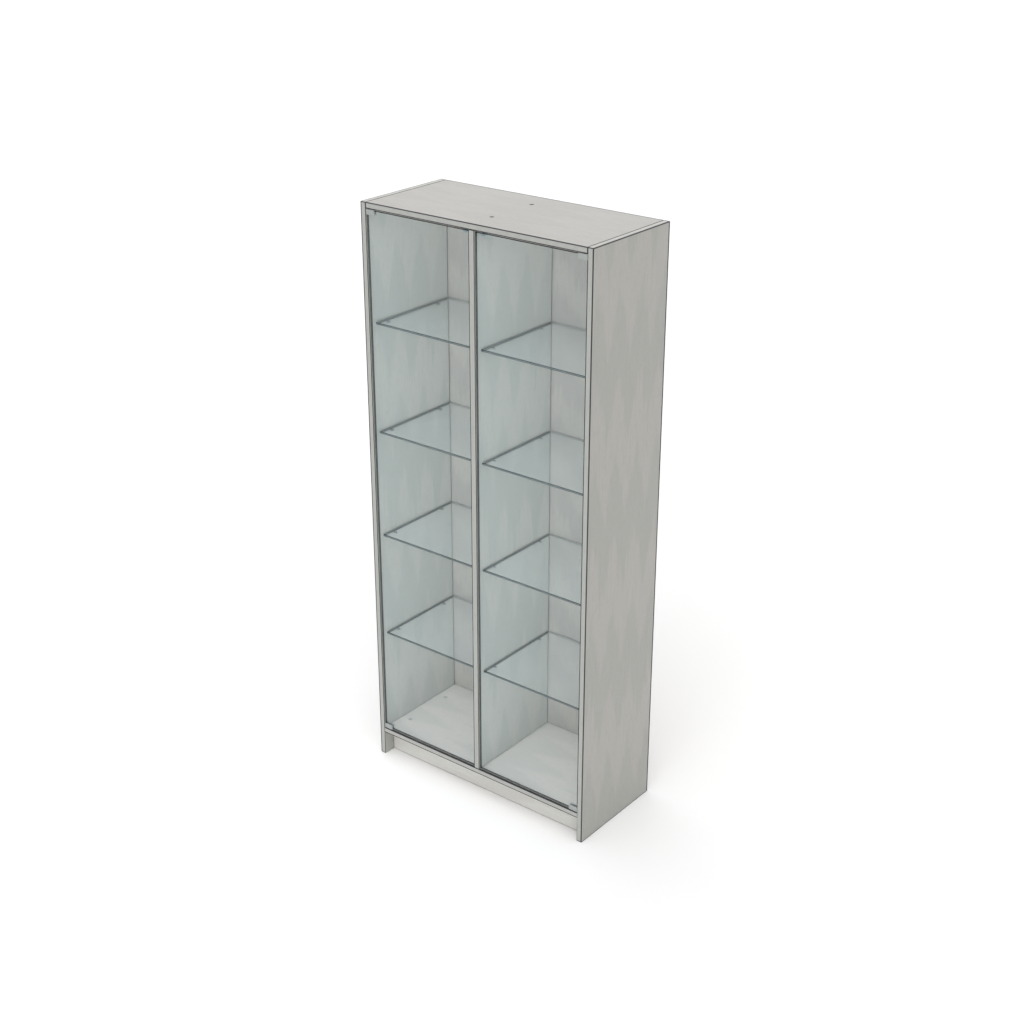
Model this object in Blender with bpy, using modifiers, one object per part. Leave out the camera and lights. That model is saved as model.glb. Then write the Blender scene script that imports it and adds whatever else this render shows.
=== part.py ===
"""Display cabinet with two glazed bays.

A carcass of pale grey wood boards stands on its two side panels. A divider makes two bays, each
with glass shelves on pins and an inset glass door that turns on pivots at its outer corners. A
touch latch under the top holds each door shut, and levelling feet hide behind the plinth.

Units are metres. X runs to the right, Y to the back and Z up. The origin lies on the floor, under
the middle of the cabinet.
"""

import math

import bmesh
import bpy
from mathutils import Matrix, Vector

# Carcass
CABINET_WIDTH = 0.800
CABINET_DEPTH = 0.350
CABINET_HEIGHT = 1.800
BOARD_THICKNESS = 0.018
BOARD_ARRIS = 0.0008
BACK_THICKNESS = 0.003
BACK_INSET = 0.002
PLINTH_HEIGHT = 0.080
PLINTH_SETBACK = 0.040

# Screws through the top into the divider
SCREW_FRONT_INSET = 0.0875
SCREW_BACK_INSET = 0.0875
SCREW_RECESS_RADIUS = 0.0045
SCREW_RECESS_DEPTH = 0.002

# Glass shelves, and the pins that carry them
SHELF_COUNT = 4
SHELF_THICKNESS = 0.006
SHELF_FRONT_SETBACK = 0.025
SHELF_BACK_GAP = 0.002
SHELF_PLAY = 0.0007
GLASS_ARRIS = 0.0006
PIN_INSET = 0.050
PIN_SHANK_RADIUS = 0.0025
PIN_SHANK_LENGTH = 0.008
PIN_COLLAR_RADIUS = 0.0045
PIN_COLLAR_LENGTH = 0.001
PIN_PEG_RADIUS = 0.0035
PIN_PEG_LENGTH = 0.009
PIN_TIP_CHAMFER = 0.0006
THROUGH_PIN_RADIUS = 0.0025
THROUGH_PIN_REACH = 0.010

# Glass doors
DOOR_THICKNESS = 0.006
DOOR_SETBACK = 0.003
DOOR_SIDE_GAP = 0.002

# Pivots: a clamp with a pin on the door, a flanged bush in the board
PIVOT_INSET = 0.012
PIVOT_PIN_RADIUS = 0.002
PIVOT_PIN_LENGTH = 0.009
CLAMP_REACH = 0.020
CLAMP_HEIGHT = 0.015
CLAMP_CHEEK = 0.002
CLAMP_BASE = 0.0016
CLAMP_CORNER = 0.0015
BUSH_RADIUS = 0.0033
BUSH_LENGTH = 0.010
FLANGE_RADIUS = 0.005
FLANGE_THICKNESS = 0.001

# Touch latches
LATCH_WIDTH = 0.014
LATCH_HEIGHT = 0.017
LATCH_LENGTH = 0.045
LATCH_ARRIS = 0.001
LATCH_FROM_DIVIDER = 0.022
EAR_SPAN = 0.030
EAR_LENGTH = 0.018
EAR_THICKNESS = 0.002
EAR_HOLE_RADIUS = 0.0018
PLUNGER_RADIUS = 0.004
PLUNGER_GUIDE = 0.022
PLUNGER_HEAD_RADIUS = 0.0055
PLUNGER_HEAD_LENGTH = 0.003
PLUNGER_HEAD_CHAMFER = 0.0006
PLUNGER_TRAVEL = 0.003
STRIKE_WIDTH = 0.014
STRIKE_HEIGHT = 0.010
STRIKE_THICKNESS = 0.0012
STRIKE_ARRIS = 0.0003

# Levelling feet, turned from inside the cabinet under a cap
FOOT_SIDE_INSET = 0.050
FOOT_FRONT_INSET = 0.0875
FOOT_BACK_INSET = 0.0875
FOOT_LIFT = 0.001
PAD_RADIUS = 0.015
PAD_EDGE_HEIGHT = 0.004
PAD_NECK_RADIUS = 0.008
PAD_HEIGHT = 0.013
SPINDLE_RADIUS = 0.004
SPINDLE_CHAMFER = 0.0008
SPINDLE_DROP = 0.0045
HEX_RADIUS = 0.0023
HEX_DEPTH = 0.005
CAP_RECESS_RADIUS = 0.0075
CAP_RECESS_DEPTH = 0.0016

# Clearances
JOINT_GAP = 0.0003
RUNNING_GAP = 0.0003
SWING_GAP = 0.0005
CUT_MARGIN = 0.002

# Facets round a turned piece or a hole, along one arc of an outline and across an eased edge
ROUND_STEPS = 16
PIN_STEPS = 12
ARC_STEPS = 8
HEX_SIDES = 6
ARRIS_STEPS = 2

# Points closer than this are one point
MERGE_DISTANCE = 0.00001

# Planes that the pieces share
CABINET_FRONT = -CABINET_DEPTH / 2
CABINET_BACK = CABINET_DEPTH / 2
CARCASS_BACK = CABINET_BACK - BACK_THICKNESS - JOINT_GAP
SIDE_INNER = CABINET_WIDTH / 2 - BOARD_THICKNESS
DIVIDER_FACE = BOARD_THICKNESS / 2
FLOOR_TOP = PLINTH_HEIGHT + BOARD_THICKNESS
TOP_UNDER = CABINET_HEIGHT - BOARD_THICKNESS
SHELF_PITCH = (TOP_UNDER - FLOOR_TOP) / (SHELF_COUNT + 1)
SHELF_FRONT = CABINET_FRONT + SHELF_FRONT_SETBACK
SHELF_BACK = CARCASS_BACK - SHELF_BACK_GAP
SHELF_END_GAP = JOINT_GAP + PIN_COLLAR_LENGTH + SHELF_PLAY
DOOR_FRONT = CABINET_FRONT + DOOR_SETBACK
DOOR_BACK = DOOR_FRONT + DOOR_THICKNESS
CLAMP_STANDOFF = JOINT_GAP + FLANGE_THICKNESS + RUNNING_GAP
DOOR_END_GAP = CLAMP_STANDOFF + CLAMP_BASE + JOINT_GAP
PIVOT_X = SIDE_INNER - PIVOT_INSET
PIVOT_Y = (DOOR_FRONT + DOOR_BACK) / 2
LATCH_X = DIVIDER_FACE + LATCH_FROM_DIVIDER
LATCH_TOP = TOP_UNDER - JOINT_GAP
LATCH_Z = LATCH_TOP - LATCH_HEIGHT / 2
STRIKE_BACK = DOOR_BACK + JOINT_GAP + STRIKE_THICKNESS
PLUNGER_TIP = STRIKE_BACK + JOINT_GAP
LATCH_FRONT = PLUNGER_TIP + PLUNGER_HEAD_LENGTH + PLUNGER_TRAVEL + JOINT_GAP
FOOT_X = CABINET_WIDTH / 2 - FOOT_SIDE_INSET

SIDES = {"left": -1, "right": 1}
PIN_ROWS = {"front": SHELF_FRONT + PIN_INSET, "rear": SHELF_BACK - PIN_INSET}
FOOT_ROWS = {"front": CABINET_FRONT + FOOT_FRONT_INSET, "rear": CABINET_BACK - FOOT_BACK_INSET}
SCREW_ROWS = (CABINET_FRONT + SCREW_FRONT_INSET, CABINET_BACK - SCREW_BACK_INSET)
SHELF_LEVELS = range(1, SHELF_COUNT + 1)

# A cylinder made along Z, turned to lie along X or Y
ALONG_X = Matrix.Rotation(math.pi / 2, 4, "Y")
ALONG_Y = Matrix.Rotation(-math.pi / 2, 4, "X")
ALONG_Z = Matrix.Identity(4)


def clear_scene():
    for obj in list(bpy.data.objects):
        bpy.data.objects.remove(obj, do_unlink=True)


def new_collection(name):
    collection = bpy.data.collections.new(name)
    bpy.context.scene.collection.children.link(collection)
    return collection


clear_scene()
PARTS = new_collection("display_cabinet")
CUTTERS = new_collection("cutters")


def linear(channel):
    """One sRGB channel, 0 to 255, as the linear value that a material takes."""
    value = channel / 255
    if value <= 0.04045:
        return value / 12.92
    return ((value + 0.055) / 1.055) ** 2.4


def finish(name, colour, roughness, metallic=0.0, transmission=0.0):
    material = bpy.data.materials.new(name)
    material.use_nodes = True
    shader = material.node_tree.nodes["Principled BSDF"]
    shader.inputs["Base Color"].default_value = (*map(linear, colour), 1.0)
    shader.inputs["Roughness"].default_value = roughness
    shader.inputs["Metallic"].default_value = metallic
    shader.inputs["Transmission Weight"].default_value = transmission
    return material


BOARD = finish("pale_grey_wood", (192, 190, 186), 0.55)
BACK_BOARD = finish("beige_grey_back", (180, 174, 165), 0.7)
GLASS = finish("tinted_glass", (214, 226, 224), 0.03, transmission=1.0)
SATIN_METAL = finish("satin_metal", (150, 152, 154), 0.35, metallic=1.0)
STEEL = finish("zinc_steel", (172, 175, 178), 0.3, metallic=1.0)
GREY_PLASTIC = finish("grey_plastic", (168, 172, 172), 0.5)
DARK_PLASTIC = finish("dark_plastic", (70, 72, 75), 0.55)


def add_part(name, mesh, material):
    mesh.materials.append(material)
    obj = bpy.data.objects.new(name, mesh)
    PARTS.objects.link(obj)
    return obj


def add_tool(name, mesh):
    """A solid that cuts or joins a part, and isn't a part itself."""
    obj = bpy.data.objects.new(name, mesh)
    obj.hide_render = True
    obj.display_type = "WIRE"
    CUTTERS.objects.link(obj)
    return obj


def block_mesh(name, size):
    mesh = bpy.data.meshes.new(name)
    shape = bmesh.new()
    bmesh.ops.create_cube(shape, size=1.0, matrix=Matrix.Diagonal((*size, 1.0)))
    shape.to_mesh(mesh)
    shape.free()
    return mesh


def block(name, low, high, material, arris):
    """A board or block between two corners, with its edges eased."""
    low, high = Vector(low), Vector(high)
    obj = add_part(name, block_mesh(name, high - low), material)
    obj.location = (low + high) / 2
    bevel = obj.modifiers.new("eased_edges", "BEVEL")
    bevel.width = arris
    bevel.segments = ARRIS_STEPS
    return obj


def block_tool(name, low, high):
    low, high = Vector(low), Vector(high)
    obj = add_tool(name, block_mesh(name, high - low))
    obj.location = (low + high) / 2
    return obj


def rod_tool(name, centres, radius, length, direction, steps=ROUND_STEPS):
    """Equal rods, one round each centre."""
    mesh = bpy.data.meshes.new(name)
    shape = bmesh.new()
    for centre in centres:
        bmesh.ops.create_cone(
            shape, cap_ends=True, segments=steps, radius1=radius, radius2=radius, depth=length,
            matrix=Matrix.Translation(centre) @ direction)
    shape.to_mesh(mesh)
    shape.free()
    return add_tool(name, mesh)


def turned(name, profile, material, steps=ROUND_STEPS, closed=False):
    """A solid turned about Z from (radius, height) points that run down its outer side."""
    mesh = bpy.data.meshes.new(name)
    edges = [(i, i + 1) for i in range(len(profile) - 1)]
    if closed:
        edges.append((len(profile) - 1, 0))
    mesh.from_pydata([(radius, 0.0, height) for radius, height in profile], edges, [])
    obj = add_part(name, mesh, material)
    screw = obj.modifiers.new("turn", "SCREW")
    screw.steps = steps
    screw.render_steps = steps
    screw.use_merge_vertices = True
    screw.merge_threshold = MERGE_DISTANCE
    return obj


def extruded(name, outline, low, high, material):
    """A flat outline in X and Y, raised from one height to another and made a mesh."""
    curve = bpy.data.curves.new(name, "CURVE")
    curve.dimensions = "2D"
    curve.fill_mode = "BOTH"
    curve.extrude = (high - low) / 2
    spline = curve.splines.new("POLY")
    spline.points.add(len(outline) - 1)
    for point, (x, y) in zip(spline.points, outline):
        point.co = (x, y, 0.0, 1.0)
    spline.use_cyclic_u = True
    drawn = bpy.data.objects.new(name + "_outline", curve)
    PARTS.objects.link(drawn)
    mesh = bpy.data.meshes.new_from_object(
        drawn.evaluated_get(bpy.context.evaluated_depsgraph_get()))
    bpy.data.objects.remove(drawn, do_unlink=True)
    shape = bmesh.new()
    shape.from_mesh(mesh)
    bmesh.ops.remove_doubles(shape, verts=shape.verts, dist=MERGE_DISTANCE)
    shape.to_mesh(mesh)
    shape.free()
    obj = add_part(name, mesh, material)
    obj.location.z = (low + high) / 2
    return obj


def combine(obj, tool, operation):
    boolean = obj.modifiers.new(tool.name, "BOOLEAN")
    boolean.operation = operation
    boolean.solver = "EXACT"
    boolean.object = tool


def cut(obj, tool):
    combine(obj, tool, "DIFFERENCE")


def join(obj, tool):
    combine(obj, tool, "UNION")


def joint_empty(name, location):
    empty = bpy.data.objects.new(name, None)
    empty.location = location
    PARTS.objects.link(empty)
    return empty


def attach(obj, parent):
    """Hang a piece on its joint's empty, where it already stands."""
    obj.parent = parent
    obj.location = obj.location - parent.location


def shelf_top(level):
    return FLOOR_TOP + level * SHELF_PITCH


def pin_height(level, radius):
    """Where a pin's axis lies when the pin just carries its shelf."""
    return shelf_top(level) - SHELF_THICKNESS - JOINT_GAP - radius


def pin_spots(x, radius):
    """The centres of all the pins in one board, at the given X."""
    return [
        Vector((x, y, pin_height(level, radius)))
        for level in SHELF_LEVELS
        for y in PIN_ROWS.values()
    ]


def make_side_panels():
    for name, side in SIDES.items():
        inner = side * SIDE_INNER
        outer = side * CABINET_WIDTH / 2
        panel = block(
            f"side_panel_{name}",
            (min(inner, outer), CABINET_FRONT, 0.0),
            (max(inner, outer), CARCASS_BACK, CABINET_HEIGHT),
            BOARD, BOARD_ARRIS)
        depth = PIN_SHANK_LENGTH + JOINT_GAP
        middle = inner + side * (depth - CUT_MARGIN) / 2
        cut(panel, rod_tool(
            f"pin_holes_{name}", pin_spots(middle, PIN_PEG_RADIUS),
            PIN_SHANK_RADIUS + JOINT_GAP, depth + CUT_MARGIN, ALONG_X, PIN_STEPS))


def pivot_spots(z):
    return [Vector((side * PIVOT_X, PIVOT_Y, z)) for side in SIDES.values()]


def cut_bush_holes(panel, face, outward):
    """Blind holes for the pivot bushes, in the face that looks into the cabinet."""
    depth = BUSH_LENGTH + JOINT_GAP
    middle = face + outward * (CUT_MARGIN - depth) / 2
    cut(panel, rod_tool(
        f"bush_holes_{panel.name}", pivot_spots(middle),
        BUSH_RADIUS + JOINT_GAP, depth + CUT_MARGIN, ALONG_Z))


def make_top_panel():
    reach = SIDE_INNER - JOINT_GAP
    panel = block(
        "top_panel", (-reach, CABINET_FRONT, TOP_UNDER), (reach, CARCASS_BACK, CABINET_HEIGHT),
        BOARD, BOARD_ARRIS)
    middle = CABINET_HEIGHT + (CUT_MARGIN - SCREW_RECESS_DEPTH) / 2
    cut(panel, rod_tool(
        "screw_recesses", [Vector((0.0, y, middle)) for y in SCREW_ROWS],
        SCREW_RECESS_RADIUS, SCREW_RECESS_DEPTH + CUT_MARGIN, ALONG_Z))
    cut_bush_holes(panel, TOP_UNDER, -1)


def foot_spots(z):
    return [Vector((side * FOOT_X, y, z)) for side in SIDES.values() for y in FOOT_ROWS.values()]


def make_bottom_panel():
    reach = SIDE_INNER - JOINT_GAP
    panel = block(
        "bottom_panel", (-reach, CABINET_FRONT, PLINTH_HEIGHT), (reach, CARCASS_BACK, FLOOR_TOP),
        BOARD, BOARD_ARRIS)
    cut(panel, rod_tool(
        "spindle_holes", foot_spots((PLINTH_HEIGHT + FLOOR_TOP) / 2),
        SPINDLE_RADIUS + RUNNING_GAP, BOARD_THICKNESS + 2 * CUT_MARGIN, ALONG_Z))
    cut(panel, rod_tool(
        "cap_recesses", foot_spots(FLOOR_TOP + (CUT_MARGIN - CAP_RECESS_DEPTH) / 2),
        CAP_RECESS_RADIUS, CAP_RECESS_DEPTH + CUT_MARGIN, ALONG_Z))
    cut_bush_holes(panel, FLOOR_TOP, 1)


def make_divider():
    panel = block(
        "divider_panel",
        (-DIVIDER_FACE, CABINET_FRONT, FLOOR_TOP + JOINT_GAP),
        (DIVIDER_FACE, CARCASS_BACK, TOP_UNDER - JOINT_GAP),
        BOARD, BOARD_ARRIS)
    cut(panel, rod_tool(
        "through_pin_holes", pin_spots(0.0, THROUGH_PIN_RADIUS),
        THROUGH_PIN_RADIUS + JOINT_GAP, BOARD_THICKNESS + 2 * CUT_MARGIN, ALONG_X, PIN_STEPS))


def make_plinth():
    reach = SIDE_INNER - JOINT_GAP
    front = CABINET_FRONT + PLINTH_SETBACK
    block(
        "plinth_board", (-reach, front, 0.0),
        (reach, front + BOARD_THICKNESS, PLINTH_HEIGHT - JOINT_GAP), BOARD, BOARD_ARRIS)


def make_back_panel():
    reach = CABINET_WIDTH / 2 - BACK_INSET
    block(
        "back_panel", (-reach, CABINET_BACK - BACK_THICKNESS, PLINTH_HEIGHT),
        (reach, CABINET_BACK, CABINET_HEIGHT - BACK_INSET), BACK_BOARD, BOARD_ARRIS)


def make_shelves():
    for name, side in SIDES.items():
        ends = sorted((side * (DIVIDER_FACE + SHELF_END_GAP), side * (SIDE_INNER - SHELF_END_GAP)))
        for level in SHELF_LEVELS:
            top = shelf_top(level)
            block(
                f"glass_shelf_{name}_{level}",
                (ends[0], SHELF_FRONT, top - SHELF_THICKNESS), (ends[1], SHELF_BACK, top),
                GLASS, GLASS_ARRIS)


def make_side_pins():
    """Pins in the side panels: a shank in the board, a collar, and a peg under the shelf."""
    collar_end = JOINT_GAP + PIN_COLLAR_LENGTH
    peg_end = collar_end + PIN_PEG_LENGTH
    profile = [
        (0.0, peg_end),
        (PIN_PEG_RADIUS - PIN_TIP_CHAMFER, peg_end),
        (PIN_PEG_RADIUS, peg_end - PIN_TIP_CHAMFER),
        (PIN_PEG_RADIUS, collar_end),
        (PIN_COLLAR_RADIUS, collar_end),
        (PIN_COLLAR_RADIUS, JOINT_GAP),
        (PIN_SHANK_RADIUS, JOINT_GAP),
        (PIN_SHANK_RADIUS, -PIN_SHANK_LENGTH),
        (0.0, -PIN_SHANK_LENGTH),
    ]
    for name, side in SIDES.items():
        for level in SHELF_LEVELS:
            for row, y in PIN_ROWS.items():
                pin = turned(f"shelf_pin_{name}_{level}_{row}", profile, STEEL, PIN_STEPS)
                pin.location = (side * SIDE_INNER, y, pin_height(level, PIN_PEG_RADIUS))
                pin.rotation_euler.y = -side * math.pi / 2


def make_divider_pins():
    """Plain pins that pass through the divider and carry a shelf on either side."""
    end = DIVIDER_FACE + THROUGH_PIN_REACH
    profile = [
        (0.0, end),
        (THROUGH_PIN_RADIUS - PIN_TIP_CHAMFER, end),
        (THROUGH_PIN_RADIUS, end - PIN_TIP_CHAMFER),
        (THROUGH_PIN_RADIUS, PIN_TIP_CHAMFER - end),
        (THROUGH_PIN_RADIUS - PIN_TIP_CHAMFER, -end),
        (0.0, -end),
    ]
    for level in SHELF_LEVELS:
        for row, y in PIN_ROWS.items():
            pin = turned(f"divider_pin_{level}_{row}", profile, STEEL, PIN_STEPS)
            pin.location = (0.0, y, pin_height(level, THROUGH_PIN_RADIUS))
            pin.rotation_euler.y = math.pi / 2


def arc(centre, radius, start, end):
    """Points on an arc, both ends included."""
    turn = (end - start) / ARC_STEPS
    return [
        (centre[0] + radius * math.cos(start + turn * i),
         centre[1] + radius * math.sin(start + turn * i))
        for i in range(ARC_STEPS + 1)
    ]


def clamp_outline(side):
    """A pivot clamp from above: round about the pin, where it turns past the side panel."""
    half = DOOR_THICKNESS / 2 + JOINT_GAP + CLAMP_CHEEK
    end_radius = PIVOT_INSET - SWING_GAP
    sweep = math.asin(half / end_radius)
    far = CLAMP_REACH - CLAMP_CORNER
    points = arc((0.0, 0.0), end_radius, -sweep, sweep)
    points += arc((-far, half - CLAMP_CORNER), CLAMP_CORNER, math.pi / 2, math.pi)
    points += arc((-far, CLAMP_CORNER - half), CLAMP_CORNER, math.pi, 1.5 * math.pi)
    return [(side * x, y) for x, y in points]


def make_clamp(name, side, end, panel_face, pivot):
    """A clamp on a door's corner, with its pin. End is 1 at the bottom and -1 at the top."""
    base = end * CLAMP_STANDOFF
    rim = base + end * CLAMP_HEIGHT
    slot_half = DOOR_THICKNESS / 2 + JOINT_GAP
    slot_reach = CLAMP_REACH + PIVOT_INSET
    slot_ends = sorted((base + end * CLAMP_BASE, rim + end * CUT_MARGIN))
    pin_start = base + end * CLAMP_BASE / 2
    pin_end = base - end * PIVOT_PIN_LENGTH
    clamp = extruded(
        f"hinge_clamp_{name}", clamp_outline(side), min(base, rim), max(base, rim), SATIN_METAL)
    slot = block_tool(
        f"clamp_slot_{name}",
        (-slot_reach, -slot_half, slot_ends[0]), (slot_reach, slot_half, slot_ends[1]))
    pin = rod_tool(
        f"clamp_pin_{name}", [Vector((0.0, 0.0, (pin_start + pin_end) / 2))],
        PIVOT_PIN_RADIUS, abs(pin_start - pin_end), ALONG_Z)
    cut(clamp, slot)
    join(clamp, pin)
    for obj in (clamp, slot, pin):
        obj.parent = pivot
        obj.location.z += panel_face - pivot.location.z


def make_bush(name, side, end, panel_face):
    """A flanged bush let into the board, its flange under the turning clamp."""
    bore = PIVOT_PIN_RADIUS + RUNNING_GAP
    flange_top = JOINT_GAP + FLANGE_THICKNESS
    bush = turned(
        f"hinge_bush_{name}",
        [
            (bore, flange_top),
            (FLANGE_RADIUS, flange_top),
            (FLANGE_RADIUS, JOINT_GAP),
            (BUSH_RADIUS, JOINT_GAP),
            (BUSH_RADIUS, -BUSH_LENGTH),
            (bore, -BUSH_LENGTH),
        ],
        DARK_PLASTIC, closed=True)
    bush.location = (side * PIVOT_X, PIVOT_Y, panel_face)
    if end < 0:
        bush.rotation_euler.x = math.pi


def make_doors():
    for name, side in SIDES.items():
        pivot = joint_empty(f"door_pivot_{name}", (side * PIVOT_X, PIVOT_Y, FLOOR_TOP))
        ends = sorted((side * (DIVIDER_FACE + DOOR_SIDE_GAP), side * (SIDE_INNER - DOOR_SIDE_GAP)))
        door = block(
            f"glass_door_{name}",
            (ends[0], DOOR_FRONT, FLOOR_TOP + DOOR_END_GAP),
            (ends[1], DOOR_BACK, TOP_UNDER - DOOR_END_GAP),
            GLASS, GLASS_ARRIS)
        attach(door, pivot)
        strike = block(
            f"strike_plate_{name}",
            (side * LATCH_X - STRIKE_WIDTH / 2, DOOR_BACK + JOINT_GAP, LATCH_Z - STRIKE_HEIGHT / 2),
            (side * LATCH_X + STRIKE_WIDTH / 2, STRIKE_BACK, LATCH_Z + STRIKE_HEIGHT / 2),
            STEEL, STRIKE_ARRIS)
        attach(strike, pivot)
        for place, end, face in (("bottom", 1, FLOOR_TOP), ("top", -1, TOP_UNDER)):
            make_clamp(f"{name}_{place}", side, end, face, pivot)
            make_bush(f"{name}_{place}", side, end, face)


def make_latch_body(name, x):
    """A housing under the top, with two screw ears and a bore for the plunger."""
    body = block(
        f"latch_body_{name}",
        (x - LATCH_WIDTH / 2, LATCH_FRONT, LATCH_TOP - LATCH_HEIGHT),
        (x + LATCH_WIDTH / 2, LATCH_FRONT + LATCH_LENGTH, LATCH_TOP),
        GREY_PLASTIC, LATCH_ARRIS)
    ear_middle = LATCH_FRONT + LATCH_LENGTH / 2
    ears = block_tool(
        f"latch_ears_{name}",
        (x - EAR_SPAN / 2, ear_middle - EAR_LENGTH / 2, LATCH_TOP - EAR_THICKNESS),
        (x + EAR_SPAN / 2, ear_middle + EAR_LENGTH / 2, LATCH_TOP))
    join(body, ears)
    hole_offset = (LATCH_WIDTH + EAR_SPAN) / 4
    hole_z = LATCH_TOP - EAR_THICKNESS / 2
    cut(body, rod_tool(
        f"ear_holes_{name}",
        [Vector((x + turn * hole_offset, ear_middle, hole_z)) for turn in (-1, 1)],
        EAR_HOLE_RADIUS, EAR_THICKNESS + 2 * CUT_MARGIN, ALONG_Z, PIN_STEPS))
    bore_depth = PLUNGER_GUIDE + PLUNGER_TRAVEL + JOINT_GAP
    bore_middle = LATCH_FRONT + (bore_depth - CUT_MARGIN) / 2
    cut(body, rod_tool(
        f"plunger_bore_{name}", [Vector((x, bore_middle, LATCH_Z))],
        PLUNGER_RADIUS + RUNNING_GAP, bore_depth + CUT_MARGIN, ALONG_Y))


def make_plunger(name, x):
    """A magnet-tipped plunger. It is pressed towards the back to let the door go."""
    head_back = -PLUNGER_HEAD_LENGTH
    stem_end = PLUNGER_TIP - LATCH_FRONT - PLUNGER_GUIDE
    plunger = turned(
        f"latch_plunger_{name}",
        [
            (0.0, 0.0),
            (PLUNGER_HEAD_RADIUS - PLUNGER_HEAD_CHAMFER, 0.0),
            (PLUNGER_HEAD_RADIUS, -PLUNGER_HEAD_CHAMFER),
            (PLUNGER_HEAD_RADIUS, head_back),
            (PLUNGER_RADIUS, head_back),
            (PLUNGER_RADIUS, stem_end),
            (0.0, stem_end),
        ],
        DARK_PLASTIC)
    plunger.location = (x, PLUNGER_TIP, LATCH_Z)
    plunger.rotation_euler.x = math.pi / 2


def make_latches():
    for name, side in SIDES.items():
        make_latch_body(name, side * LATCH_X)
        make_plunger(name, side * LATCH_X)


def make_foot(name, x, y):
    """A flared pad on a screw spindle, with a hexagon socket in the spindle's top end."""
    top = FLOOR_TOP - SPINDLE_DROP - FOOT_LIFT
    foot = turned(
        f"levelling_foot_{name}",
        [
            (0.0, top),
            (SPINDLE_RADIUS - SPINDLE_CHAMFER, top),
            (SPINDLE_RADIUS, top - SPINDLE_CHAMFER),
            (SPINDLE_RADIUS, PAD_HEIGHT),
            (PAD_NECK_RADIUS, PAD_HEIGHT),
            (PAD_RADIUS, PAD_EDGE_HEIGHT),
            (PAD_RADIUS, 0.0),
            (0.0, 0.0),
        ],
        STEEL)
    foot.location = (x, y, FOOT_LIFT)
    socket_middle = Vector((x, y, FOOT_LIFT + top + (CUT_MARGIN - HEX_DEPTH) / 2))
    cut(foot, rod_tool(
        f"hex_socket_{name}", [socket_middle], HEX_RADIUS, HEX_DEPTH + CUT_MARGIN, ALONG_Z,
        HEX_SIDES))


def make_feet():
    for side_name, side in SIDES.items():
        for row, y in FOOT_ROWS.items():
            make_foot(f"{side_name}_{row}", side * FOOT_X, y)


make_side_panels()
make_top_panel()
make_bottom_panel()
make_divider()
make_plinth()
make_back_panel()
make_shelves()
make_side_pins()
make_divider_pins()
make_doors()
make_latches()
make_feet()
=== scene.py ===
import math
from collections import namedtuple

import bmesh
import bpy
from mathutils import Euler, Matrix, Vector


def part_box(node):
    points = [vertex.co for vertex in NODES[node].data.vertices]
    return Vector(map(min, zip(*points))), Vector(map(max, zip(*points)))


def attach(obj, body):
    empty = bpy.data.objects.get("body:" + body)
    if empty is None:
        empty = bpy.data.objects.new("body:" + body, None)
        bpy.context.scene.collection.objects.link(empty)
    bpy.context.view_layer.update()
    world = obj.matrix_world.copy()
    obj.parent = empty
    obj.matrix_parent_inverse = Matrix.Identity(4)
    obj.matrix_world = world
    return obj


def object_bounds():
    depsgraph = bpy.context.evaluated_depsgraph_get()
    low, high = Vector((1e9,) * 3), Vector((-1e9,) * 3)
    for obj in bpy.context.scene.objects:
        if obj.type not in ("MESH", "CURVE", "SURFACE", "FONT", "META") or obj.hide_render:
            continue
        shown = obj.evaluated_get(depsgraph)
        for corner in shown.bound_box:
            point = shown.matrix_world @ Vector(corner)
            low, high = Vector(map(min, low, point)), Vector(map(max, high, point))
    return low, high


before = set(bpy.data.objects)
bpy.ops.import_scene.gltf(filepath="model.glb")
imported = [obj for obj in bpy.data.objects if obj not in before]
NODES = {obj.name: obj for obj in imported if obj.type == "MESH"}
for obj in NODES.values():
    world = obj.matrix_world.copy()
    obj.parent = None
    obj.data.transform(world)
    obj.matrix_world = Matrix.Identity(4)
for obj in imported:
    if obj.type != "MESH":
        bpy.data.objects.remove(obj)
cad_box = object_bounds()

SIDES = ("left", "right")
X, Y, Z = range(3)
UP = (0, 0, 1)
DOWN = (0, 0, -1)
REARWARD = (0, 1, 0)
QUARTER_TURN = math.pi / 2

# Camera, as fitted to the photograph's outline
CAMERA_PLACE = (2.728, -3.448, 2.891)
CAMERA_AZIMUTH = math.radians(38.353)
CAMERA_ELEVATION = math.radians(24.364)
CAMERA_LENS_MM = 57.57
CAMERA_SENSOR_MM = 36.0

# Light, as the share of plain white that each lamp gives to a surface that faces it. The sky is seen
# about as bright as the lit floor, so that no horizon shows through a pane.
SKY_LIGHT = 0.12
SKY_SEEN = 1.20
TOP_LIGHT = 0.67
TOP_AZIMUTH = 0.0
TOP_ELEVATION = math.radians(85)
FRONT_LIGHT = 0.40
FRONT_AZIMUTH = math.radians(32)
FRONT_ELEVATION = math.radians(32)
REAR_LIGHT = 0.25
REAR_AZIMUTH = math.radians(238)
REAR_ELEVATION = math.radians(20)
SOFT_ANGLE = math.radians(70)
BAY_FRONT_LIGHT = 0.50
BAY_REAR_LIGHT = 0.25
BAY_WALL_LIGHT = 0.65
BAY_LOW_LIGHT = 0.21
BAY_HIGH_LIGHT = 0.38
LAMP_GAP = 0.0005

# Studio floor, in metres and sRGB 0 to 255
FLOOR_SIZE = 80.0
FLOOR_COLOUR = (252, 252, 252)
FLOOR_ROUGHNESS = 0.9

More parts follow.
